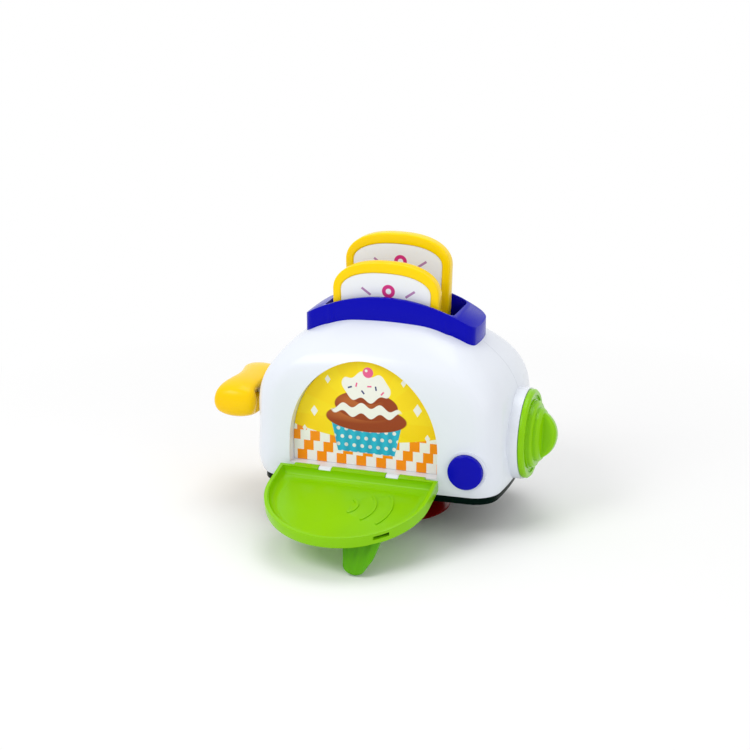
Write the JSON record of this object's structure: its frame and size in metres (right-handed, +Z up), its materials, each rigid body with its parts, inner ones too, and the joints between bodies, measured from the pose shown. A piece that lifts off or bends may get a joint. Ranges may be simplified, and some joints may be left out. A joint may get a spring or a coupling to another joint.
{
  "type": "toy toaster",
  "caption": "Pop-up toy toaster with a side lever that lowers the slices, a release button, a fold-down front door over a picture, a clicking dial and a suction cup under its base",
  "frame": {"origin": "on the surface that the toy stands on, at the centre of the suction cup's rim, under the middle of the casing", "axes": "+Z up, +X towards the dial at the right end as seen from the front, -Y towards the front with the window and the door"},
  "size_m": [0.2209, 0.1769, 0.176],
  "materials": {
    "casing_white": "gloss",
    "collar_blue": "gloss",
    "liner_blue": "gloss",
    "base_green": "gloss",
    "cup_red": "gloss",
    "picture_print": "gloss",
    "door_green": "gloss",
    "handle_green": "gloss",
    "button_blue": "gloss",
    "dial_green": "gloss",
    "knob_yellow": "gloss",
    "crust_yellow": "gloss",
    "face_white": "gloss",
    "inner_plastic": "satin",
    "steel": "bright",
    "spring_steel": "bright"
  },
  "bodies": {
    "casing": {"front_shell": "casing_white", "back_shell": "casing_white", "top_collar": "collar_blue", "slot_liner": "liner_blue", "base_tray": "base_green", "suction_cup": "cup_red", "cup_retainer": "inner_plastic", "picture_panel": "picture_print", "hinge_pin": "steel", "guide_rod_left": "steel", "guide_rod_right": "steel", "click_spring": "spring_steel", "case_screws": "steel", "base_screws": "steel", "button_cover": "inner_plastic", "button_spring": "spring_steel", "lift_spring_left": "spring_steel", "lift_spring_right": "spring_steel"},
    "carriage": {"carriage": "inner_plastic", "lever_arm": "inner_plastic", "lever_knob": "knob_yellow", "toast_front": "crust_yellow", "toast_front_faces": "face_white", "toast_back": "crust_yellow", "toast_back_faces": "face_white"},
    "door": {"door": "door_green", "door_handle": "handle_green"},
    "dial": {"dial": "dial_green", "dial_shaft": "inner_plastic", "click_wheel": "inner_plastic"},
    "button": {"button": "button_blue", "latch_arm": "inner_plastic"}
  },
  "joints": [
    {"name": "carriage_slide", "type": "slide", "parent": "casing", "child": "carriage", "axis": [0, 0, -1], "range_m": [0, 0.032], "stiffness_N_per_m": 40, "springref_m": -0.06, "deforming": ["lift_spring_left", "lift_spring_right"]},
    {"name": "door_hinge", "type": "hinge", "parent": "casing", "child": "door", "pos_m": [-0.0065, -0.0542, 0.0372], "axis": [-1, 0, 0], "range_deg": [0, 101.8]},
    {"name": "dial_spin", "type": "hinge", "parent": "casing", "child": "dial", "pos_m": [0.087, 0, 0.0564], "axis": [1, 0, 0], "continuous": true},
    {"name": "button_push", "type": "slide", "parent": "casing", "child": "button", "axis": [0, 1, 0], "range_m": [0, 0.0035], "stiffness_N_per_m": 300, "springref_m": -0.004, "deforming": ["button_spring"]}
  ]
}
